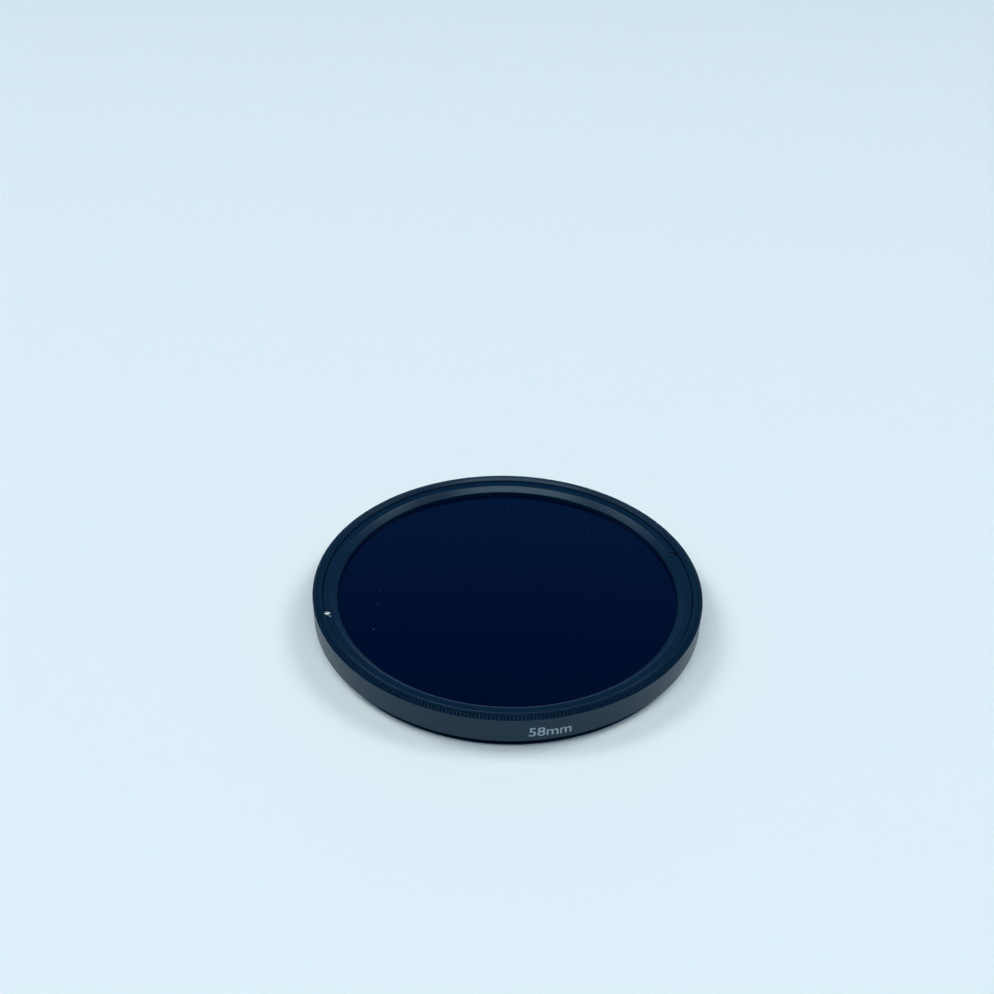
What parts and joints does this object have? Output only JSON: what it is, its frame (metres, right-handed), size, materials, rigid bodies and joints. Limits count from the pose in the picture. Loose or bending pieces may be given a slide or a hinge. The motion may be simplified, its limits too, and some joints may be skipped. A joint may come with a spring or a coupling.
{
  "type": "infrared filter",
  "caption": "Round screw-in infrared filter for a camera lens: near-black glass disc held by a slotted retaining ring in a black threaded frame with a serrated rim.",
  "frame": {"origin": "on the filter's axis, at the rear end of its male thread", "axes": "+Z along the filter's axis, out of the serrated front rim; +X and +Y across the filter"},
  "size_m": [0.06, 0.06, 0.0062],
  "materials": {
    "black_anodised": "satin black anodised",
    "infrared_glass": "polished, near-black"
  },
  "bodies": {
    "root": {"filter_frame": "black_anodised", "infrared_glass": "infrared_glass", "retaining_ring": "black_anodised"}
  },
  "joints": []
}
